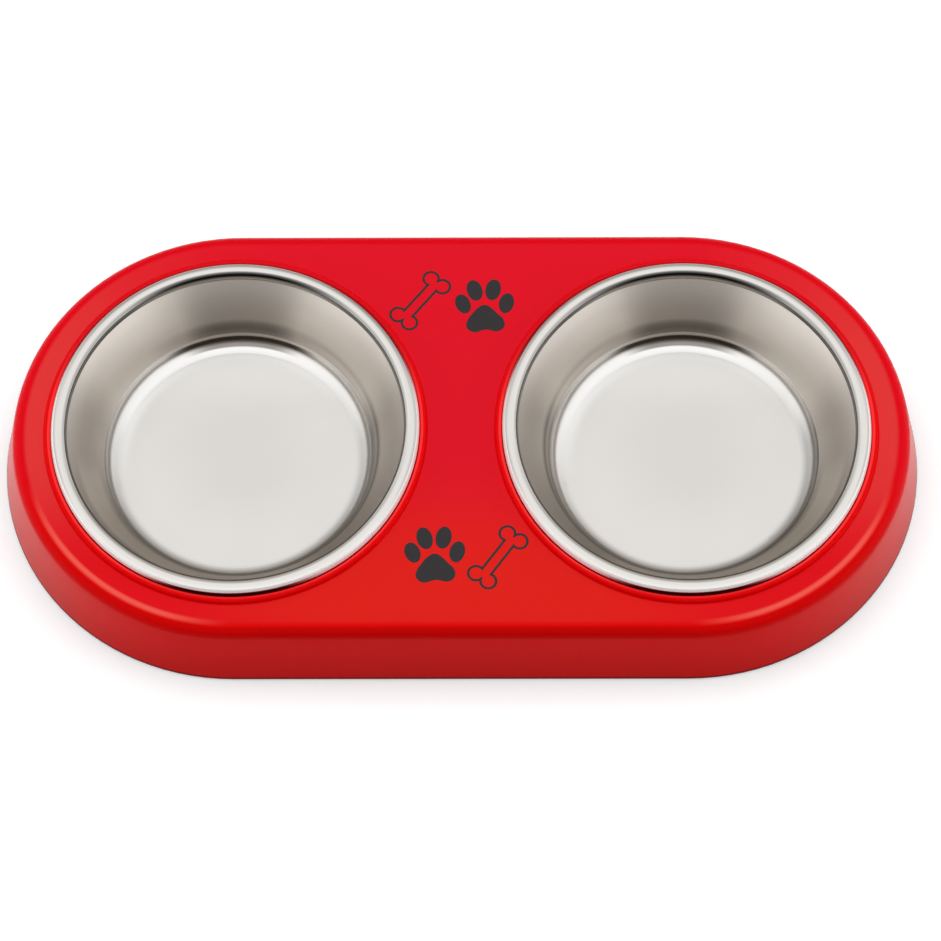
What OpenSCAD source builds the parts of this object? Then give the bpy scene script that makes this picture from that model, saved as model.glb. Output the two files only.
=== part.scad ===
// Double pet bowl: a moulded plastic stand with two round seats, two drawn steel bowls that lift
// out of them, and six rubber feet plugged into bosses under the deck.
// Millimetres. +X runs along the length, +Y to the back and +Z up. The origin is at the middle of
// the stand, on the table that the feet rest on.

/* [Stand] */
// Distance between the centres of the two bowls
bowl_pitch = 171.4; // [160:0.1:200]
// Radius of the round ends at the foot of the outer wall
base_r = 90.3; // [88:0.1:100]
// Height of the flat deck above the table
deck_h = 31.3; // [30:0.1:45]
// Height of the lower edge of the wall above the table
wall_foot_h = 1; // [0.5:0.1:2]
// Lean of the outer wall from upright, in degrees
wall_lean = 11; // [4:0.5:13]
// Radius of the rounded edge between the wall and the deck
edge_r = 5.5; // [4:0.1:6.5]
// Thickness of the moulded deck and wall
wall_t = 2.5; // [1.8:0.1:3]

/* [Bowl seats] */
// Height of the raised lip round each bowl above the deck
lip_h = 2; // [1.5:0.1:3]
// Width of the raised lip
lip_w = 2.6; // [2:0.1:3]
// Radius of the hollow blend between the lip and the deck
lip_blend_r = 0.6; // [0.3:0.1:1]
// Gap between the rolled rim and the inside of the lip
lip_gap = 0.3; // [0.2:0.05:0.6]
// How far the seat for the rim lies below the deck
seat_drop = 1.3; // [0.5:0.1:2]
// Width of the ledge that carries the rim
ledge_w = 4.3; // [3.8:0.1:5]
// Height of the gap left between the rim and the ledge
rim_rest_gap = 0.3; // [0.1:0.05:0.4]
// Depth of the skirt that hangs from the ledge
skirt_h = 9; // [5:0.5:14]
// Thickness of the skirt
skirt_t = 1.8; // [1.2:0.1:2.5]

/* [Ribs] */
// Depth of the ribs below the deck
rib_h = 8; // [4:0.5:12]
// Thickness of a rib
rib_t = 1.6; // [1:0.1:2.5]
// Angle between the ribs that run out to the round ends, in degrees
rib_step = 22.5; // [15, 22.5, 30, 45]
// Distance between the ribs that cross the middle of the stand
cross_rib_pitch = 30; // [20:1:32]

/* [Bowls] */
// Outer radius of the rolled rim
rim_r = 70; // [64:0.1:72]
// Diameter of the roll at the rim
bead_d = 6; // [5:0.1:7]
// Thickness of the steel sheet
sheet_t = 0.8; // [0.6:0.05:1]
// Inside depth from the top of the rim to the floor
bowl_depth = 31; // [24:0.5:32]
// How far the foot of the tapered wall lies in from the outer radius of the rim
wall_in = 18.3; // [15:0.1:20]
// Height of the foot of the tapered wall above the floor
step_h = 5.5; // [5.2:0.1:9]
// How far the tapered wall bows inwards from a straight line
wall_bow = 0.8; // [0.3:0.1:1.2]
// Radius rounded off the foot of the tapered wall, on the inside
step_edge_r = 1.5; // [1.2:0.1:2]
// Inside radius of the corner between floor and riser
corner_r = 5.5; // [3:0.1:5.8]
// Lean of the short riser below the tapered wall, in degrees
riser_lean = 8; // [4:1:15]

/* [Feet] */
// Radius of the rubber pad
pad_r = 6.5; // [5:0.1:7]
// Thickness of the rubber pad
pad_t = 2.5; // [2:0.1:4]
// Radius rounded off the lower edge of the pad
pad_edge_r = 0.8; // [0.4:0.1:1.5]
// Radius of the stem that plugs into the stand
stem_r = 2.5; // [1.5:0.1:3]
// Length of the stem
stem_h = 7; // [4:0.5:10]
// Gap between a foot and the boss that holds it
foot_gap = 0.1; // [0.05:0.05:0.3]
// Outer radius of a foot boss
boss_r = 5; // [4:0.1:5.2]
// Angle of the end feet off the length of the stand, in degrees
foot_angle = 45; // [30:1:60]

/* [Hidden] */
$fn = 96;
// Overrun of every cut past the face that it goes through
cut = 1;

// Outer wall: its lean is taken at the fillet's centre, so that wall, fillet and deck meet smoothly
function wall_at(z) = base_r - (z - wall_foot_h) * tan(wall_lean);
fillet_z = deck_h - edge_r;
flat_r = wall_at(fillet_z) - edge_r / cos(wall_lean);

// Seat for a rolled rim
seat_z = deck_h - seat_drop;
seat_r = rim_r + lip_gap;
opening_r = seat_r - ledge_w;
lip_out_r = seat_r + lip_w;
lip_top = deck_h + lip_h;

// Bowl section, measured up from the underside of the rolled rim
bead_r = bead_d / 2;
bead_c = [rim_r - bead_r, bead_r];
neck_angle = 222;
seam_angles = [240, 262];
neck = bead_c + bead_r * [cos(neck_angle), sin(neck_angle)];
floor_z = bead_d - bowl_depth;
wall_foot = [rim_r - wall_in, floor_z + step_h];
corner_top_z = floor_z + corner_r * (1 - sin(riser_lean));
corner_top_r = wall_foot.x - (wall_foot.y - corner_top_z) * tan(riser_lean);
corner_c = [corner_top_r - corner_r * cos(riser_lean), floor_z + corner_r];
riser_up = [sin(riser_lean), cos(riser_lean)];
riser_out = [cos(riser_lean), -sin(riser_lean)];

// The tapered wall is an arc from its foot to the neck, with its centre outside the bowl
wall_run = neck - wall_foot;
wall_r = wall_run * wall_run / (8 * wall_bow) + wall_bow / 2;
wall_c = (wall_foot + neck) / 2 + (wall_r - wall_bow) * [wall_run.y, -wall_run.x] / norm(wall_run);
neck_way = atan2(neck.y - wall_c.y, neck.x - wall_c.x);

// Centre of the rounded foot: touches the riser and, from inside, the wall's arc
step_start = wall_foot + step_edge_r * riser_out;
step_c = step_start - drop_to_circle(step_start - wall_c, riser_up, wall_r - step_edge_r) * riser_up;

// Distance down from a point to a circle about the origin, against the unit vector up
function drop_to_circle(start, up, r) =
    start * up - sqrt(pow(start * up, 2) - start * start + r * r);

// The point at a distance from one centre towards another
function toward(from, to, r) = from + r * (to - from) / norm(to - from);

// Feet: two under each round end and one at the middle of each long side, half way between a
// skirt and the edge of the flat deck
foot_ring = (opening_r + skirt_t + flat_r) / 2;
foot_end = [bowl_pitch / 2 + foot_ring * cos(foot_angle), foot_ring * sin(foot_angle)];
boss_foot_z = pad_t + foot_gap;

// Right half of the stand's section, inset from its outer skin
module half_section(inset, overrun) {
    foot_z = wall_foot_h - overrun;
    slant = inset / cos(wall_lean);
    round_r = edge_r - inset;
    centre = [flat_r, fillet_z];
    polygon([
        [0, foot_z],
        [wall_at(foot_z) - slant, foot_z],
        centre + round_r * [cos(wall_lean), sin(wall_lean)],
        centre,
        [flat_r, deck_h - inset],
        [0, deck_h - inset]
    ]);
    translate(centre) circle(r = round_r);
}

// Solid block of the stand's outline: a straight run between two half turns
module block(inset = 0, overrun = 0) {
    translate([-bowl_pitch / 2, 0, 0]) rotate([90, 0, 90]) linear_extrude(bowl_pitch) {
        half_section(inset, overrun);
        mirror([1, 0]) half_section(inset, overrun);
    }
    for (side = [0, 180])
        rotate([0, 0, side]) translate([bowl_pitch / 2, 0, 0])
            rotate([0, 0, -90]) rotate_extrude(angle = 180) half_section(inset, overrun);
}

module at_bowls() {
    for (side = [-1, 1]) translate([side * bowl_pitch / 2, 0, 0]) children();
}

module at_feet() {
    for (back = [-1, 1]) {
        translate([0, back * foot_ring, 0]) children();
        for (side = [-1, 1]) translate([side * foot_end.x, back * foot_end.y, 0]) children();
    }
}

// Raised lip round one bowl, rounded on top and blended into the deck
module lip() {
    rotate_extrude() {
        translate([seat_r + lip_w / 2, lip_top - lip_w / 2]) circle(r = lip_w / 2);
        translate([seat_r, seat_z]) square([lip_w, lip_top - lip_w / 2 - seat_z]);
        difference() {
            translate([seat_r + lip_w / 2, seat_z])
                square([lip_w / 2 + lip_blend_r, seat_drop + lip_blend_r]);
            translate([lip_out_r + lip_blend_r, deck_h + lip_blend_r]) circle(r = lip_blend_r);
        }
    }
}

// Core that stays solid round one opening: the ledge and the skirt below it
module seat_core() {
    translate([0, 0, seat_z - wall_t]) cylinder(r = lip_out_r, h = wall_t);
    translate([0, 0, seat_z - skirt_h]) cylinder(r = opening_r + skirt_t, h = skirt_h);
}

// What is open at one bowl: the way through and the wider seat over the ledge
module opening() {
    translate([0, 0, wall_foot_h - cut]) cylinder(r = opening_r, h = deck_h);
    translate([0, 0, seat_z]) cylinder(r = seat_r, h = lip_h + seat_drop + cut);
}

// Ribs under the deck: spokes from each skirt to the round end, one keel between the long walls,
// and bars across the middle from skirt to skirt
module ribs() {
    low = deck_h - wall_t - rib_h;
    tall = rib_h + wall_t / 2;
    for (side = [0, 180], a = [-90:rib_step:90])
        rotate([0, 0, side]) translate([bowl_pitch / 2, 0, 0]) rotate([0, 0, a])
            translate([opening_r, -rib_t / 2, low]) cube([base_r - opening_r, rib_t, tall]);
    translate([-rib_t / 2, -base_r, low]) cube([rib_t, 2 * base_r, tall]);
    for (row = [-2:2])
        translate([-bowl_pitch / 2, row * cross_rib_pitch - rib_t / 2, low])
            cube([bowl_pitch, rib_t, tall]);
}

// Bosses that hold the feet
module bosses() {
    at_feet() translate([0, 0, boss_foot_z])
        cylinder(r = boss_r, h = deck_h - wall_t / 2 - boss_foot_z);
}

// One moulding: the outline block, hollowed from below round what stays inside it
module stand() {
    color("#d8201f") difference() {
        union() {
            block();
            at_bowls() lip();
        }
        difference() {
            block(wall_t, cut);
            at_bowls() seat_core();
            ribs();
            bosses();
        }
        at_bowls() opening();
        at_feet() translate([0, 0, boss_foot_z - cut])
            cylinder(r = stem_r + foot_gap, h = stem_h + cut);
    }
}

// Half of the space in a bowl, grown outwards by g; past runs it on above the neck
module bowl_space(g, past) {
    end_way = neck_way - past / wall_r * 180 / PI;
    end_dir = [cos(end_way), sin(end_way)];
    wall_start = toward(wall_c, step_c, wall_r - g);
    wall_end = wall_c + (wall_r + cut) * end_dir;
    difference() {
        polygon([
            [0, floor_z - g],
            [corner_c.x, floor_z - g],
            corner_c,
            corner_c + (corner_r + g) * riser_out,
            step_c - (step_edge_r - g) * riser_out,
            step_c,
            wall_start,
            [corner_c.x, 0],
            [0, 0]
        ]);
        translate(step_c) circle(r = step_edge_r - g);
    }
    difference() {
        polygon([
            [0, wall_start.y],
            wall_start + [cut, 0],
            wall_c + (wall_r - g - cut) * end_dir,
            wall_end,
            [0, wall_end.y]
        ]);
        translate(wall_c) circle(r = wall_r - g);
    }
    translate(corner_c) circle(r = corner_r + g);
}

// One bowl drawn from sheet: flat floor, round corner, short riser with a rounded edge, tapered
// wall that bows a little inwards, and a rim rolled outwards and under until it nearly meets the wall
module bowl() {
    rotate_extrude() {
        difference() {
            bowl_space(sheet_t, sheet_t / 2);
            bowl_space(0, cut);
            translate([-bead_d, floor_z - bead_d]) square([bead_d, bowl_depth + 2 * bead_d]);
        }
        difference() {
            translate(bead_c) circle(r = bead_r);
            translate(bead_c) circle(r = bead_r - sheet_t);
            polygon([bead_c, for (a = seam_angles) bead_c + bead_d * [cos(a), sin(a)]]);
        }
    }
}

module left_bowl() {
    color("#c9c6c0") translate([-bowl_pitch / 2, 0, seat_z + rim_rest_gap]) bowl();
}

module right_bowl() {
    color("#c9c6c0") translate([bowl_pitch / 2, 0, seat_z + rim_rest_gap]) bowl();
}

// Rubber foot: a round pad with a stem
module foot() {
    rotate_extrude() {
        translate([0, pad_edge_r]) square([pad_r, pad_t - pad_edge_r]);
        square([pad_r - pad_edge_r, pad_t]);
        translate([pad_r - pad_edge_r, pad_edge_r]) circle(r = pad_edge_r);
        square([stem_r, pad_t + stem_h - stem_r / 2]);
        translate([0, pad_t + stem_h - stem_r / 2])
            polygon([[0, 0], [stem_r, 0], [stem_r / 2, stem_r / 2 - foot_gap], [0, stem_r / 2 - foot_gap]]);
    }
}

module end_foot(side, back) {
    color("#303030") translate([side * foot_end.x, back * foot_end.y, 0]) foot();
}

module middle_foot(back) {
    color("#303030") translate([0, back * foot_ring, 0]) foot();
}

module foot_front_left() { end_foot(-1, -1); }
module foot_front_middle() { middle_foot(-1); }
module foot_front_right() { end_foot(1, -1); }
module foot_rear_left() { end_foot(-1, 1); }
module foot_rear_middle() { middle_foot(1); }
module foot_rear_right() { end_foot(1, 1); }

stand();
left_bowl();
right_bowl();
foot_front_left();
foot_front_middle();
foot_front_right();
foot_rear_left();
foot_rear_middle();
foot_rear_right();
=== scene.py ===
from math import cos, pi, radians, sin

import bpy
from mathutils import Matrix, Vector


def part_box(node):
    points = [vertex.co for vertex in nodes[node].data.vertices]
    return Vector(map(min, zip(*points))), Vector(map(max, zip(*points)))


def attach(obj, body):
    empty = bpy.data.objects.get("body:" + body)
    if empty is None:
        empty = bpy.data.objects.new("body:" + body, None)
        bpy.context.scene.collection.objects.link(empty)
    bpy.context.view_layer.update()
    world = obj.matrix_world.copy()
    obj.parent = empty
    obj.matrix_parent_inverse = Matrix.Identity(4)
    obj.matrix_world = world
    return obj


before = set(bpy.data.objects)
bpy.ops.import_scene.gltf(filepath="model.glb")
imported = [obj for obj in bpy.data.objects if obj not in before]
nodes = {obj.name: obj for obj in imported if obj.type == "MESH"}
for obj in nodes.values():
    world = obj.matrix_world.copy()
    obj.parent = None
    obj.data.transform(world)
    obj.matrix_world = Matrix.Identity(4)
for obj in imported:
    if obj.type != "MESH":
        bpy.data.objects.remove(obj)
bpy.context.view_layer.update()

mm = 0.001
pitch = sum(corner[0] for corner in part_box("right_bowl"))     # between the axes of the two bowls
print("frame loaded:", len(nodes), "solids")


# shader helpers

class Wire:  # one output socket; sums and products of wires add Math nodes
    def __init__(self, sheet, socket):
        self.sheet = sheet
        self.socket = socket

    def work(self, kind, first, second):
        return self.sheet.add("ShaderNodeMath", {"operation": kind}, {0: first, 1: second})

    def __add__(self, other):
        return self.work("ADD", self, other)

    def __radd__(self, other):
        return self.work("ADD", other, self)

    def __sub__(self, other):
        return self.work("SUBTRACT", self, other)

    def __rsub__(self, other):
        return self.work("SUBTRACT", other, self)

    def __mul__(self, other):
        return self.work("MULTIPLY", self, other)

    def __rmul__(self, other):
        return self.work("MULTIPLY", other, self)

    def __truediv__(self, other):
        return self.work("DIVIDE", self, other)

    def __pow__(self, other):
        return self.work("POWER", self, other)


class Sheet:  # the node tree of a material or of the world
    def __init__(self, tree):
        self.tree = tree
        tree.nodes.clear()

    def add(self, kind, settings=None, values=None, out=0):
        node = self.tree.nodes.new(kind)
        for name, value in (settings or {}).items():
            if name == "stops":
                ramp = node.color_ramp
                while len(ramp.elements) < len(value):
                    ramp.elements.new(0.5)
                for element, (spot, shade) in zip(ramp.elements, value):
                    element.position = spot
                    element.color = (*shade, 1)
            else:
                setattr(node, name, value)
        for name, value in (values or {}).items():
            if isinstance(value, Wire):
                self.tree.links.new(value.socket, node.inputs[name])
            else:
                node.inputs[name].default_value = value
        return Wire(self, node.outputs[out]) if len(node.outputs) else node

    def step(self, value, low, high):  # 0 below low, 1 above high, smooth between
        return self.add("ShaderNodeMapRange", {"interpolation_type": "SMOOTHSTEP"},
                        {"Value": value, "From Min": low, "From Max": high})

    def band(self, value, low, lowEnd, high, highEnd):  # up from low to lowEnd, down from high to highEnd
        return self.step(value, low, lowEnd) * (1 - self.step(value, high, highEnd))

    def mixColour(self, factor, first, second, blend="MIX"):
        sockets = {0: factor, 6: first, 7: second}
        return self.add("ShaderNodeMix", {"data_type": "RGBA", "blend_type": blend}, sockets, out=2)

    def mixValue(self, factor, first, second):
        return self.add("ShaderNodeMix", {"data_type": "FLOAT"}, {0: factor, 2: first, 3: second})

    def noise(self, coords, scale, detail, roughness):
        return self.add("ShaderNodeTexNoise", None, {
            "Vector": coords, "Scale": scale, "Detail": detail, "Roughness": roughness})

    def unsigned(self, value):
        return self.add("ShaderNodeMath", {"operation": "ABSOLUTE"}, {0: value})


def newMaterial(name):
    material = bpy.data.materials.new(name)
    material.use_nodes = True
    return material, Sheet(material.node_tree)


def colour(red, green, blue):
    return (red, green, blue, 1)


def metres(sizes):
    return [size * mm for size in sizes]


def splitAxes(sheet, vector):
    node = sheet.add("ShaderNodeSeparateXYZ", None, {"Vector": vector}).socket.node
    return [Wire(sheet, node.outputs[k]) for k in range(3)]


def place(sheet, centre=(0, 0, 0)):  # where a point is, in metres from centre
    coords = sheet.add("ShaderNodeTexCoord", out=3)
    return sheet.add("ShaderNodeMapping", None, {"Vector": coords, "Location": [-c for c in centre]})


# camera

camera = {
    "focal": 4000,          # in pixels of the 941 px picture
    "width": 941,
    "sensor": 36,
    "elevation": 64.151,
    "turn": -0.942,
    "roll": -0.951,
    "distance": 1.5459,
    "target": (0.00343, -0.00301, 0.001),
}


def makeCamera():
    data = bpy.data.cameras.new("camera")
    data.sensor_width = camera["sensor"]
    data.lens = camera["focal"] / camera["width"] * camera["sensor"]
    data.clip_start, data.clip_end = 0.01, 100
    eye = bpy.data.objects.new("camera", data)
    bpy.context.scene.collection.objects.link(eye)
    turn, rise = radians(camera["turn"]), radians(camera["elevation"])
    look = Vector((sin(turn) * cos(rise), cos(turn) * cos(rise), -sin(rise)))
    spin = (Matrix.Rotation(-turn, 4, "Z") @ Matrix.Rotation(pi / 2 - rise, 4, "X")
            @ Matrix.Rotation(radians(camera["roll"]), 4, "Z"))
    spot = Vector(camera["target"]) - look * camera["distance"]
    eye.matrix_world = Matrix.Translation(spot) @ spin
    bpy.context.scene.camera = eye


makeCamera()
print("camera placed")


# studio

studio = {
    "floorSize": 6,
    "floorColour": (0.72, 0.76, 0.76),
    "floorGlow": 0.35,              # seen by the camera and in reflections, never on the object
    "farGlow": 0.65,                # the rest of the way to white, far from the stand
    "farFrom": (0.45, 1.1),
    "darkFront": (-0.35, -0.22),    # in reflections the floor is dark in front of this
    "darkFloor": (0.03, 0.03, 0.03),
    "worldLight": 0.38,             # what the world sends to matt surfaces
    "sideLight": 0.15,              # what it adds from both ends of the stand
    "sideLightFrom": (0.3, 0.9),
    # what polished surfaces see of the room, by degrees up from the back horizon and over
    "room": [(0, 0.50), (38, 0.58), (60, 1.02), (100, 1.08),
             (130, 1.16), (148, 1.16), (160, 0.16), (180, 0.10)],
    "sides": 1.15,                  # the same over the ends of the stand, where the front is bright too
    "sideHorizon": 1.5,
    "sideRise": (0.0, 0.3),
    "sideEdge": (0.4, 0.8),
    "warmth": (1, 0.90, 0.80),      # tint of the dark front and of reflections of reflections
    "warmBelow": (0.2, 0.9),
    # how much of the room is left in a reflection of a reflection, in the middle and over the ends
    "laterBounce": (0.30, 0.95),
    "laterFrom": (2.4, 2.6),        # the ray depth that counts as one
    # place, size and power of the lamps
    "softboxes": {
        "above": ((0, 0.30, 1.3), (1.5, 1.1), 12.2),
        "left": ((-1.4, -0.1, 0.35), (1.0, 0.6), 5.5),
        "right": ((1.4, -0.1, 0.35), (1.0, 0.6), 5.5),
    },
}


def seenRays(sheet):  # what the camera sees directly, and what it sees in reflections
    rays = sheet.add("ShaderNodeLightPath").socket.node.outputs
    direct, shine, through = [Wire(sheet, rays[name]) for name in
                              ("Is Camera Ray", "Is Glossy Ray", "Is Transmission Ray")]
    either = sheet.add("ShaderNodeMath", {"operation": "ADD", "use_clamp": True}, {0: shine, 1: through})
    return direct, either


def makeWorld():
    world = bpy.data.worlds.new("studio")
    bpy.context.scene.world = world
    world.use_nodes = True
    sheet = Sheet(world.node_tree)
    direct, shine = seenRays(sheet)
    x, y, z = splitAxes(sheet, sheet.add("ShaderNodeTexCoord"))
    rise = sheet.add("ShaderNodeMath", {"operation": "ARCTAN2"}, {0: z, 1: y})
    aside = sheet.unsigned(x)
    stops = [(angle / 180, (level / 2,) * 3) for angle, level in studio["room"]]    # halved to stay under 1
    over = sheet.add("ShaderNodeValToRGB", {"stops": stops}, {"Fac": rise / pi})
    beside = sheet.step(aside, *studio["sideEdge"])
    horizon = studio["sideHorizon"]
    sides = horizon + sheet.step(z, *studio["sideRise"]) * (studio["sides"] - horizon)
    room = 2 * sheet.add("ShaderNodeSeparateColor", None, {"Color": over})
    room = room + beside * (sides - room)
    middle, flank = studio["laterBounce"]
    later = sheet.step(sheet.add("ShaderNodeLightPath", out=9), *studio["laterFrom"])
    room = room * (1 - (1 - middle - beside * (flank - middle)) * later)
    gathered = studio["worldLight"] + sheet.step(aside, *studio["sideLightFrom"]) * studio["sideLight"]
    strength = direct + (1 - direct) * (shine * room + (1 - shine) * gathered)
    dim = (1 - sheet.step(room, *studio["warmBelow"])) * shine
    tint = sheet.mixColour(dim, colour(1, 1, 1), colour(*studio["warmth"]))
    glow = sheet.add("ShaderNodeBackground", None, {"Color": tint, "Strength": strength})
    sheet.add("ShaderNodeOutputWorld", None, {"Surface": glow})


def makeFloor():
    bpy.ops.object.select_all(action="DESELECT")
    bpy.ops.mesh.primitive_plane_add(size=studio["floorSize"], location=(0, 0, 0))
    floor = bpy.context.object
    floor.name = "floor"
    material, sheet = newMaterial("floor")
    direct, shine = seenRays(sheet)
    x, y = splitAxes(sheet, place(sheet))[:2]
    front = 1 - sheet.step(y, *studio["darkFront"])
    far = sheet.step((x * x + y * y) ** 0.5, *studio["farFrom"])
    strength = (direct + shine) * studio["floorGlow"] + direct * far * studio["farGlow"]
    matt = sheet.add("ShaderNodeBsdfDiffuse", None, {"Color": colour(*studio["floorColour"])})
    glow = sheet.add("ShaderNodeEmission", None, {"Color": colour(1, 1, 1), "Strength": strength})
    pale = sheet.add("ShaderNodeAddShader", None, {0: matt, 1: glow})
    dark = sheet.add("ShaderNodeBsdfDiffuse", None, {"Color": colour(*studio["darkFloor"])})
    skin = sheet.add("ShaderNodeMixShader", None, {0: front * shine, 1: pale, 2: dark})
    sheet.add("ShaderNodeOutputMaterial", None, {"Surface": skin})
    floor.data.materials.append(material)


def makeSoftboxes():
    for name, (spot, size, power) in studio["softboxes"].items():
        lamp = bpy.data.lights.new("softbox " + name, "AREA")
        lamp.shape = "RECTANGLE"
        lamp.size, lamp.size_y = size
        lamp.energy = power
        holder = bpy.data.objects.new("softbox " + name, lamp)
        spot = Vector(spot)
        holder.matrix_world = Matrix.Translation(spot) @ spot.to_track_quat("Z", "Y").to_matrix().to_4x4()
        holder.visible_glossy = False       # polished surfaces mirror the room alone
        bpy.context.scene.collection.objects.link(holder)


bpy.context.scene.view_settings.view_transform = "Standard"
makeWorld()
makeFloor()
makeSoftboxes()
print("studio lit")


# finishes

# A bracket that holds no colour mostly says where a change starts and ends: a height or distance in
# millimetres, or a facing, which is -1 at the front, 0 at the ends and 1 at the back.

redPlastic = {
    # frontRed and backRed: the red turns bluer towards the back, a painted tint of the light reflected
    # there
    "frontRed": (0.70, 0.001, 0.001),
    "backRed": (0.69, 0.001, 0.008),
    "backFrom": (-60, -10),
    "wallPaintedSheen": (0.66, 0.028, 0.022),   # painted sheen and side light: the wall towards the ends, paler
    "wallTop": (25, 27),
    "paleFacing": (-0.98, -0.5),
    # lowWall and lowShade: painted shade, the wall darker towards the floor
    "lowWall": (2, 22),
    "lowShade": 0.13,
    "edgePaintedShade": (0.56, 0.0003, 0.0003),  # painted shade: the rounded front edge darker, and the same at the corners
    "edgeCornersPaintedShade": (0.64, 0.0003, 0.001),
    "edgeHeight": (26.2, 27.8),
    "edgeReach": (81.5, 82.5),
    "cornersFrom": (60, 120),
    "paintedFootShade": (0.25, 0.0005, 0.0005),  # painted shade along the lower rim of the wall
    "footHeight": (1.7, 2.5),
    # the flat deck, a little rougher than the polished edges; its colour is a painted sheen, paler at the
    # ends and bluer at the back
    "deckSheenFront": (0.70, 0.012, 0.0085),
    "deckSheenCorners": (0.70, 0.003, 0.0085),
    "deckSheenBack": (0.70, 0.005, 0.017),
    "deckSheenEnds": (0.73, 0.034, 0.034),
    "deckSheenCornersFrom": (40, 120),
    "deckSheenEndsFrom": (70, 170),
    "deckSheenEndsBack": (30, 80),
    "deckSheenEndsLoss": 0.5,                # how much fainter the painted sheen of the ends gets there
    "deckSheenWander": 0.12,                 # how far a soft cloud moves the painted sheen of the ends, in metres
    "hazeRoughness": 0.08,              # what it adds to the roughness
    "deckHeight": (31.0, 31.2, 31.32, 31.5),
    "deckReach": (79.2, 81.2),
    # by distance from a bowl's axis: the painted highlight on the ridge of the lip and the painted shade on
    # the slope outside it
    "ridge": (71.1, 71.7),
    "ridgeHeight": (31.6, 32.3),
    "ridgePaintedHighlight": (0.80, 0.030, 0.030),
    "ridgeGlow": (0.27, 0.008, 0.010),  # light that the polished rim throws on the lip
    "slope": (71.3, 71.8, 72.8, 73.3),
    "slopePaintedShade": (0.72, 0.0003, 0.0015),
    "lipBack": (0.0, 0.7),              # both are fainter at the back, and the ridge at the very front
    "lipFront": (-0.98, -0.75),
    "slopeLoss": 0.7,
    "ridgeLoss": (0.85, 0.45),          # at the back and at the very front
    # by distance from the middle line of the stand: the glint where the front corners start to round
    "glint": (78.8, 80.2, 80.6, 82.1),
    "glintRed": (0.84, 0.095, 0.072),
    "glintFacing": (-0.65, -0.25),
    "glintFrom": (84, 115),
    "specular": 0.05,
    "specularTint": (1, 0.87, 0.74),
    "roughness": 0.24,
    "cloudScale": 16,
    "cloudRoughness": 0.08,
    "peelSize": 0.0016,                 # the moulded skin's grain and its depth, in metres
    "peelStrength": 0.05,
    "peelDepth": 0.0003,
    "peelRoughness": 0.05,
}


def makeRedPlastic():
    look = redPlastic
    material, sheet = newMaterial("red moulded plastic")
    coords = place(sheet)
    x, y, z = splitAxes(sheet, coords)
    cloud = sheet.noise(coords, look["cloudScale"], detail=3, roughness=0.5)
    fine = sheet.noise(coords, 1 / look["peelSize"], detail=2, roughness=0.5)

    def past(value, key):
        return sheet.step(value, *metres(look[key]))

    def within(value, key):
        return sheet.band(value, *metres(look[key]))

    def paint(mask, under, key):
        return sheet.mixColour(mask, under, colour(*look[key]))

    aside = sheet.unsigned(x)
    beyond = aside - pitch / 2
    ring = (beyond * beyond + y * y) ** 0.5        # distance from the axis of the nearer bowl
    over = sheet.add("ShaderNodeMath", {"operation": "MAXIMUM"}, {0: beyond, 1: 0.0})
    reach = (over * over + y * y) ** 0.5           # distance from the stand's middle line
    facing = y / reach
    lipFacing = y / ring

    # painted tint of the reflected light: bluer red from the front to the back
    back = past(y, "backFrom")
    base = paint(back, colour(*look["frontRed"]), "backRed")
    # painted sheen: the wall paler towards the ends
    base = paint((1 - past(z, "wallTop")) * sheet.step(facing, *look["paleFacing"]), base, "wallPaintedSheen")
    # painted shade: darker towards the floor
    base = sheet.mixColour((1 - past(z, "lowWall")) * look["lowShade"], base, colour(0, 0, 0))
    # painted shade on the rounded front edge
    paintedEdgeShade = paint(past(aside, "cornersFrom"), colour(*look["edgePaintedShade"]), "edgeCornersPaintedShade")
    base = sheet.mixColour(past(z, "edgeHeight") * past(reach, "edgeReach") * (1 - back), base, paintedEdgeShade)
    # painted shade along the wall's lower rim
    base = paint(1 - past(z, "footHeight"), base, "paintedFootShade")

    # painted sheen on the flat deck
    deckSheen = paint(past(aside, "deckSheenCornersFrom"), colour(*look["deckSheenFront"]), "deckSheenCorners")
    deckSheen = paint(back, deckSheen, "deckSheenBack")
    ends = past(aside + (cloud - 0.5) * look["deckSheenWander"], "deckSheenEndsFrom")
    ends = ends * back * (1 - look["deckSheenEndsLoss"] * past(y, "deckSheenEndsBack"))
    deckSheen = paint(ends, deckSheen, "deckSheenEnds")
    deck = within(z, "deckHeight") * (1 - past(reach, "deckReach"))
    base = sheet.mixColour(deck, base, deckSheen)

    hidden = sheet.step(lipFacing, *look["lipBack"])
    nearSide = 1 - sheet.step(lipFacing, *look["lipFront"])
    # painted shade on the slope outside the lip
    base = paint(within(ring, "slope") * (1 - look["slopeLoss"] * hidden), base, "slopePaintedShade")
    backLoss, frontLoss = look["ridgeLoss"]
    # painted highlight on the ridge of the lip
    ridge = (1 - past(ring, "ridge")) * past(z, "ridgeHeight")
    ridge = ridge * (1 - backLoss * hidden - frontLoss * nearSide)
    base = paint(ridge, base, "ridgePaintedHighlight")
    thrown = paint(ridge, colour(0, 0, 0), "ridgeGlow")
    corner = (1 - sheet.step(facing, *look["glintFacing"])) * past(aside, "glintFrom")
    base = paint(within(reach, "glint") * corner, base, "glintRed")

    rough = (look["roughness"] + deck * look["hazeRoughness"] + (cloud - 0.5) * look["cloudRoughness"]
             + (fine - 0.5) * look["peelRoughness"])
    peel = sheet.add("ShaderNodeBump", None, {
        "Strength": look["peelStrength"], "Distance": look["peelDepth"], "Height": fine})
    skin = sheet.add("ShaderNodeBsdfPrincipled", None, {
        "Base Color": base, "Roughness": rough, "Normal": peel, "Specular IOR Level": look["specular"],
        "Specular Tint": colour(*look["specularTint"]), "Emission Color": thrown, "Emission Strength": 1.0})
    sheet.add("ShaderNodeOutputMaterial", None, {"Surface": skin})
    return material


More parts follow.
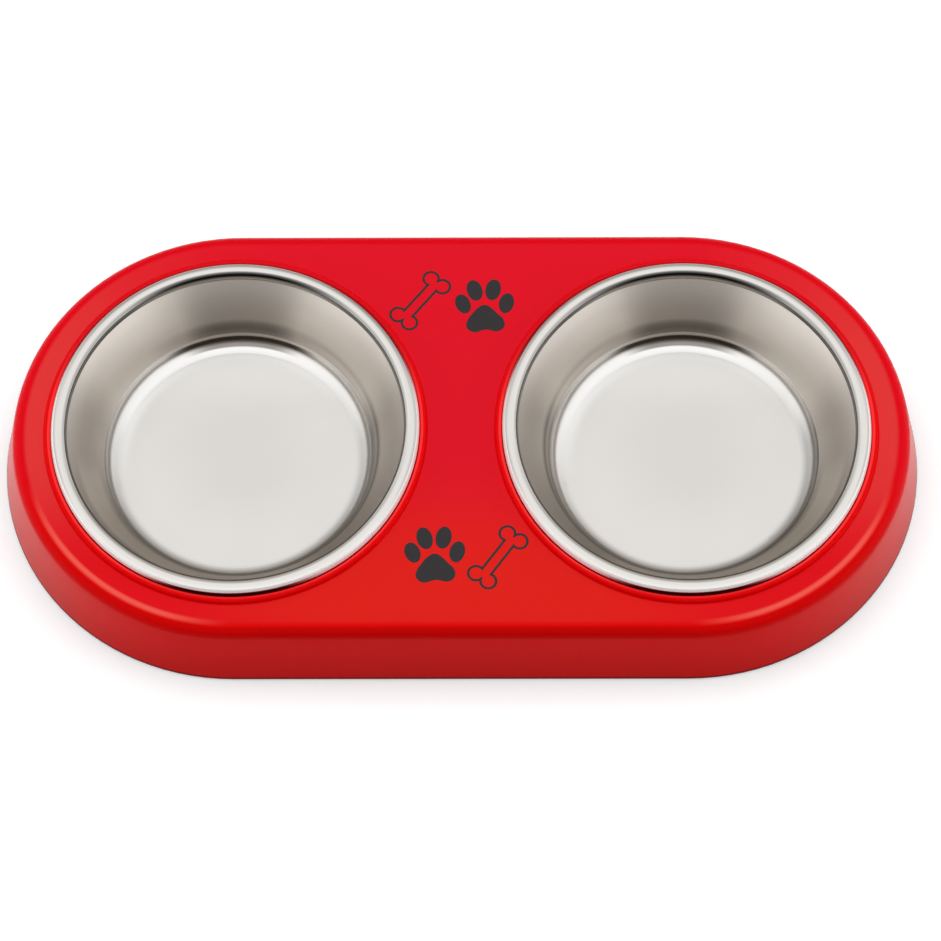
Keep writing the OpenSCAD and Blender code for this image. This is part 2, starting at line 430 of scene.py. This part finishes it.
steel = {
    "tone": (0.76, 0.738, 0.708),
    "grooves": 2600,                      # the fine turned lines in each metre, their strength and depth
    "grooveStrength": 0.03,
    "grooveDepth": 0.0001,
    "cloudScale": 45,
    "wallFrom": (10.6, 11.0),
    "wallDim": (0.68, 0.637, 0.586),
    # painted highlights: two streaks beside the back, a patch at the outer front and the top of the near
    # side
    "wallPaintedHighlight": (1.0, 0.937, 0.862),
    "wallRoughness": 0.42,
    "wallLines": 0.10,                    # how much the turned lines change the roughness
    "streakFacing": (0.15, 0.5, 0.90, 0.985),
    "streakFade": (20, 28),
    "streakLoss": 0.5,                    # how much fainter the streaks get up there
    "patchToward": (0.75, -0.66),         # the share of outward and of back in the patch's direction
    "patchFacing": (0.80, 0.98),
    "patchHeight": (12, 17, 25, 28),
    "nearTop": (16, 19),
    "nearTopFacing": (-0.96, -0.80),
    # painted shade and dark reflections at the wall's foot by height, on the side towards the other bowl
    # and at the back
    "footLow": 10.4,
    "footHigh": 17.4,
    "footAside": [(10.6, 0.60), (11.6, 0.50), (13.4, 0.75), (15.0, 0.38), (16.4, 0.80), (17.4, 1.0)],
    "footBack": [(10.6, 1.0), (11.0, 1.0), (11.5, 0.62), (13.5, 0.45), (15.2, 0.55), (17.2, 1.0)],
    "footOutward": (-0.7, 0.2),
    "footFacing": (0.70, 0.96),
    "footStreaks": 0.6,                   # how far the streaks clear it
    # the bowl's floor, painted lighter towards its edge and at the back, a painted reflection of the light
    "floorMiddle": (0.755, 0.735, 0.708),
    "floorEdge": (0.800, 0.779, 0.750),
    "floorEdgeFrom": (5, 36),
    "floorBack": (0.88, 0.86, 0.83),
    "floorBackFrom": (20, 44),
    "floorRoughness": 0.31,
    "floorLines": 0.08,
    "halo": (0.95, 0.94, 0.92),           # painted highlight: the floor's bright edge at the back and left
    "haloRadius": (41, 45.5, 47, 50),
    "haloToward": (0.94, -0.35),          # the share of back and of right in its direction
    "haloFacing": (0.1, 0.8),
    "cornerRadius": (44.6, 48),           # the floor's shaded corner at the front and sides
    "cornerFacing": (0.1, 0.5),
    "cornerShade": (0.20, 0.12, 0.06),    # everywhere, more to the right, more outward
    "cloudShade": 0.05,
    # painted reflections: the dark crescent in the corner at the back, its paler lower part, and the bright
    # line above them
    "crescent": (7.2, 8.0, 9.3, 10.0),
    "crescentTone": (0.10, 0.09, 0.08),
    "crescentFacing": (0.80, 0.93),
    "underCrescent": (5.75, 6.1, 7.5, 8.2),
    "underCrescentTone": (0.31, 0.28, 0.265),
    "underCrescentFacing": (0.88, 0.98),
    "stepLine": (9.9, 10.2, 11.0, 11.5),
    "stepLineTone": (1.0, 0.96, 0.91),
    "stepLineFacing": (0.3, 0.7),
    "rimFrom": (31.2, 31.5),
    "rimMiddle": (66.9, 67.1),            # distance from the axis where the rim's outer side starts
    "rimRoughness": 0.10,
    "rimRoughBelow": (33.7, 34.5),        # lower on the outer side it is worn
    "rimRoughLow": 0.4,
    # painted shade and dark reflections on the rolled rim by height, on its side towards the bowl and on
    # its outer side
    "rimLow": 33.0,
    "rimHigh": 36.3,
    "insideBack": [(33.1, 1.0), (34.0, 1.0), (34.45, 0.45), (34.9, 0.04), (35.3, 0.015), (35.55, 0.05),
                   (35.78, 0.15), (35.95, 0.40), (36.1, 1.0)],
    "insideFront": [(33.3, 0.08), (33.9, 0.08), (34.4, 0.45), (35.6, 0.50), (35.9, 0.75), (36.1, 1.0)],
    "insideFacing": (0.70, 0.99),
    "outsideBack": [(33.3, 0.50), (35.0, 0.50), (35.45, 0.42), (35.8, 0.60), (36.0, 0.8), (36.2, 1.0)],
    "outsideFront": [(32.6, 0.04), (33.5, 0.12), (34.1, 0.6), (34.5, 1.0)],
    "outsideFacing": (-0.7, -0.2),
    # painted reflections: the outer side below paleBelow is pale and nearly matt, and at the very front
    # dark below darkBelow
    "paleTone": (0.84, 0.828, 0.815),
    "paleMatt": 0.85,
    "paleBelow": (35.35, 35.75),
    "paleFacing": (0.1, 0.5),
    "darkBelow": (34.35, 34.75),
    "darkFacing": (-0.97, -0.86),
    "darkShade": 0.85,
}


def makeSteel(name, axisX):
    look = steel
    material, sheet = newMaterial(name)
    coords = place(sheet, (axisX, 0, 0))
    x, y, z = splitAxes(sheet, coords)
    radius = (x * x + y * y) ** 0.5
    toBack = y / radius
    toRight = x / radius
    outward = toRight * (1 if axisX > 0 else -1)    # 1 at the end of the stand, -1 towards the other bowl

    def past(value, key):
        return sheet.step(value, *metres(look[key]))

    def within(value, key):
        return sheet.band(value, *metres(look[key]))

    def facing(key, direction=toBack):
        return sheet.step(direction, *look[key])

    def paint(mask, under, key):
        return sheet.mixColour(mask, under, colour(*look[key]))

    def byHeight(key, bottom, top):
        bottom, top = look[bottom], look[top]
        span = top - bottom
        stops = [((height - bottom) / span, (level,) * 3) for height, level in look[key]]
        return sheet.add("ShaderNodeValToRGB", {"stops": stops}, {"Fac": (z / mm - bottom) / span})

    def times(first, second):
        return sheet.mixColour(1.0, first, second, "MULTIPLY")

    grooves = look["grooves"]
    rings = sheet.add("ShaderNodeCombineXYZ", None, {"X": radius * grooves, "Y": z * grooves, "Z": 0.0})
    lines = sheet.noise(rings, 1, detail=2, roughness=0.6)
    cloud = sheet.noise(coords, look["cloudScale"], detail=3, roughness=0.55)
    onFloor = 1 - past(z, "wallFrom")
    onRim = past(z, "rimFrom")
    outside = past(radius, "rimMiddle")

    # painted shade and dark reflections on the rim
    sides = []
    for side in ("inside", "outside"):
        front, back = [byHeight(side + end, "rimLow", "rimHigh") for end in ("Front", "Back")]
        sides.append(sheet.mixColour(facing(side + "Facing"), front, back))
    rimPaintedShade = sheet.mixColour(outside, *sides)
    # painted reflections on the rim's outer side: pale and nearly matt, dark at the very front
    under = outside * onRim * (1 - facing("paleFacing"))
    dark = (1 - past(z, "darkBelow")) * (1 - facing("darkFacing"))
    rimPaintedShade = sheet.mixColour(under * dark * look["darkShade"], rimPaintedShade, colour(0, 0, 0))
    pale = under * (1 - past(z, "paleBelow")) * (1 - dark)
    rim = paint(pale, times(colour(*look["tone"]), rimPaintedShade), "paleTone")

    # painted highlights on the wall
    streaks = sheet.band(toBack, *look["streakFacing"])
    out, back = look["patchToward"]
    patch = facing("patchFacing", out * outward + back * toBack) * within(z, "patchHeight")
    nearTop = past(z, "nearTop") * (1 - facing("nearTopFacing"))
    paintedHighlight = streaks * (1 - look["streakLoss"] * past(z, "streakFade")) + patch + nearTop
    # painted shade and dark reflections at the wall's foot
    wallFootPaintedShade = sheet.mixColour(facing("footOutward", outward), byHeight("footAside", "footLow", "footHigh"),
                           colour(1, 1, 1))
    wallFootPaintedShade = sheet.mixColour(facing("footFacing"), wallFootPaintedShade, byHeight("footBack", "footLow", "footHigh"))
    wallFootPaintedShade = sheet.mixColour(streaks * look["footStreaks"], wallFootPaintedShade, colour(1, 1, 1))
    wall = times(paint(paintedHighlight, colour(*look["wallDim"]), "wallPaintedHighlight"), wallFootPaintedShade)

    # painted reflection: the floor lighter towards its edge and back
    floor = paint(past(radius, "floorEdgeFrom"), colour(*look["floorMiddle"]), "floorEdge")
    floor = paint(past(y, "floorBackFrom"), floor, "floorBack")
    # painted highlight at the floor's edge
    back, right = look["haloToward"]
    halo = within(radius, "haloRadius") * facing("haloFacing", back * toBack + right * toRight)
    floor = paint(halo, floor, "halo")
    even, right, out = look["cornerShade"]
    corner = past(radius, "cornerRadius") * (1 - facing("cornerFacing"))
    corner = corner * (even + right * toRight + out * outward)
    floor = sheet.mixColour(corner + cloud * look["cloudShade"], floor, colour(0, 0, 0))
    # painted reflections in the corner and on the step
    for key in ("underCrescent", "crescent"):
        floor = paint(within(z, key) * facing(key + "Facing"), floor, key + "Tone")

    base = sheet.mixColour(onFloor, wall, floor)
    base = paint(within(z, "stepLine") * facing("stepLineFacing"), base, "stepLineTone")
    base = sheet.mixColour(onRim, base, rim)
    rough = sheet.mixValue(onFloor, look["wallRoughness"] + (lines - 0.5) * look["wallLines"],
                           look["floorRoughness"] + (lines - 0.5) * look["floorLines"])
    worn = outside * (1 - past(z, "rimRoughBelow"))
    rough = sheet.mixValue(onRim, rough, sheet.mixValue(worn, look["rimRoughness"], look["rimRoughLow"]))
    brush = sheet.add("ShaderNodeBump", None, {
        "Strength": look["grooveStrength"], "Distance": look["grooveDepth"], "Height": lines})
    skin = sheet.add("ShaderNodeBsdfPrincipled", None, {
        "Base Color": base, "Metallic": 1 - pale * look["paleMatt"], "Roughness": rough, "Normal": brush})
    sheet.add("ShaderNodeOutputMaterial", None, {"Surface": skin})
    return material


rubber = {
    "dark": (0.022, 0.022, 0.023),
    "pale": (0.035, 0.035, 0.036),
    "grain": 900,
    "grainStrength": 0.15,
    "grainDepth": 0.0003,
    "roughness": 0.7,
    "unevenness": 0.1,
}


def makeRubber():
    material, sheet = newMaterial("foot rubber")
    grain = sheet.noise(place(sheet), rubber["grain"], detail=3, roughness=0.6)
    base = sheet.mixColour(grain, colour(*rubber["dark"]), colour(*rubber["pale"]))
    bump = sheet.add("ShaderNodeBump", None, {
        "Strength": rubber["grainStrength"], "Distance": rubber["grainDepth"], "Height": grain})
    rough = rubber["roughness"] + (grain - 0.5) * rubber["unevenness"]
    skin = sheet.add("ShaderNodeBsdfPrincipled", None, {
        "Base Color": base, "Roughness": rough, "Normal": bump})
    sheet.add("ShaderNodeOutputMaterial", None, {"Surface": skin})
    return material


def dress(name, material):
    slots = nodes[name].data.materials
    slots.clear()
    slots.append(material)


dress("stand", makeRedPlastic())
dress("left_bowl", makeSteel("left bowl steel", -pitch / 2))
dress("right_bowl", makeSteel("right bowl steel", pitch / 2))
rubberSkin = makeRubber()
for name in nodes:
    if name.startswith("foot_"):
        dress(name, rubberSkin)
print("finishes made")


# prints on the deck, modelled in millimetres round the origin

ink = {
    "black": (0.018, 0.016, 0.017),
    "grey": (0.026, 0.023, 0.025),
    "grain": 700,
    "roughness": 0.5,
    "unevenness": 0.15,
    "specular": 0.2,
    "thickness": 0.05,
    "deck": 31.3,           # height of the deck
}


def makeInk():
    material, sheet = newMaterial("charcoal ink")
    grain = sheet.noise(place(sheet), ink["grain"], detail=3, roughness=0.6)
    base = sheet.mixColour(grain, colour(*ink["black"]), colour(*ink["grey"]))
    rough = ink["roughness"] + (grain - 0.5) * ink["unevenness"]
    skin = sheet.add("ShaderNodeBsdfPrincipled", None, {
        "Base Color": base, "Roughness": rough, "Specular IOR Level": ink["specular"]})
    sheet.add("ShaderNodeOutputMaterial", None, {"Surface": skin})
    return material


inkSkin = makeInk()


def pick(*things):  # select these, the first one active
    bpy.ops.object.select_all(action="DESELECT")
    for thing in things:
        thing.select_set(True)
    bpy.context.view_layer.objects.active = things[0]


def settle(thing):  # put the object's place, turn and size into its mesh
    pick(thing)
    bpy.ops.object.transform_apply(location=True, rotation=True, scale=True)


def combine(first, second, how):
    pick(first)
    modifier = first.modifiers.new("combine", "BOOLEAN")
    modifier.operation, modifier.object, modifier.solver = how, second, "EXACT"
    bpy.ops.object.modifier_apply(modifier=modifier.name)
    bpy.data.objects.remove(second)


def stamp(thing, places):  # a copy of the print at each place: x, y and turn on the deck
    for name, (x, y, turn) in places.items():
        pick(thing)
        bpy.ops.object.duplicate()
        copy = bpy.context.object
        copy.name = copy.data.name = name
        copy.matrix_world = (Matrix.Diagonal((mm, mm, mm, 1)) @ Matrix.Translation((x, y, ink["deck"]))
                             @ Matrix.Rotation(radians(turn), 4, "Z"))
        settle(copy)
        copy.data.materials.clear()
        copy.data.materials.append(inkSkin)
        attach(copy, "stand")
    bpy.data.objects.remove(thing)


bone = {
    "length": 20.15,        # between the middles of the two ends
    "lobeGap": 5.65,
    "lobeRadius": 3.4,
    "shaftWidth": 5.0,
    "line": 0.95,
    "places": {"bone_print_rear": (-15.82, 55.24, 51.2), "bone_print_front": (13.97, -53.76, 54.3)},
}


def boneSolid(inset, height):
    bpy.ops.mesh.primitive_cube_add(size=1)
    shape = bpy.context.object
    bpy.ops.transform.resize(value=(bone["length"], bone["shaftWidth"] - 2 * inset, height))
    settle(shape)
    for end in (-1, 1):
        for side in (-1, 1):
            bpy.ops.mesh.primitive_cylinder_add(
                vertices=64, radius=bone["lobeRadius"] - inset, depth=height,
                location=(end * bone["length"] / 2, side * bone["lobeGap"] / 2, 0))
            lobe = bpy.context.object
            settle(lobe)
            combine(shape, lobe, "UNION")
    return shape


def makeBones():  # an outline: the bone with a smaller and thicker one cut out
    outline = boneSolid(0, ink["thickness"])
    combine(outline, boneSolid(bone["line"], 3 * ink["thickness"]), "DIFFERENCE")
    stamp(outline, bone["places"])


makeBones()

paw = {
    # x, y, half width, half length and turn of each toe
    "toes": [(-8.47, 6.6, 2.9, 4.3, 20), (-3.97, 12.5, 3.0, 4.6, 15),
             (3.16, 12.75, 3.0, 4.6, -9.5), (8.3, 6.9, 2.9, 4.4, -12)],
    "padTop": (0.0, 6.2),
    "pad": [(0, 0), (2.5, -1.35), (4.9, -3.9), (7.1, -6.3), (7.55, -9.2), (5.3, -11.4), (0.2, -10.85),
            (-4.5, -11.9), (-7.0, -9.9), (-6.7, -6.7), (-4.9, -3.9), (-2.8, -1.35)],
    "places": {"paw_print_rear": (9.13, 47.14, 0), "paw_print_front": (-9.54, -58.39, 0)},
}


def padSolid():  # the circle's four points, cut into the twelve of the outline
    bpy.ops.curve.primitive_bezier_circle_add(radius=1)
    pad = bpy.context.object
    bpy.ops.object.mode_set(mode="EDIT")
    bpy.ops.curve.select_all(action="SELECT")
    bpy.ops.curve.subdivide(number_cuts=2)
    bpy.ops.curve.handle_type_set(type="AUTOMATIC")
    bpy.ops.object.mode_set(mode="OBJECT")
    for point, (x, y) in zip(pad.data.splines[0].bezier_points, paw["pad"]):
        point.co = (paw["padTop"][0] + x, paw["padTop"][1] + y, 0)
    pad.data.dimensions = "2D"
    pad.data.fill_mode = "BOTH"
    pad.data.resolution_u = 8
    pad.data.extrude = ink["thickness"] / 2
    pick(pad)
    bpy.ops.object.convert(target="MESH")
    pad = bpy.context.object
    bpy.ops.object.mode_set(mode="EDIT")
    bpy.ops.mesh.select_all(action="SELECT")
    bpy.ops.mesh.remove_doubles(threshold=0.001)
    bpy.ops.mesh.normals_make_consistent(inside=False)
    bpy.ops.object.mode_set(mode="OBJECT")
    return pad


def makePaws():
    parts = [padSolid()]
    for x, y, halfWidth, halfLength, turn in paw["toes"]:
        bpy.ops.mesh.primitive_cylinder_add(vertices=64, radius=1, depth=ink["thickness"],
                                            location=(x, y, 0), rotation=(0, 0, radians(turn)))
        toe = bpy.context.object
        toe.scale = (halfWidth, halfLength, 1)
        settle(toe)
        parts.append(toe)
    pick(*parts)
    bpy.ops.object.join()
    stamp(parts[0], paw["places"])


makePaws()
print("prints made")
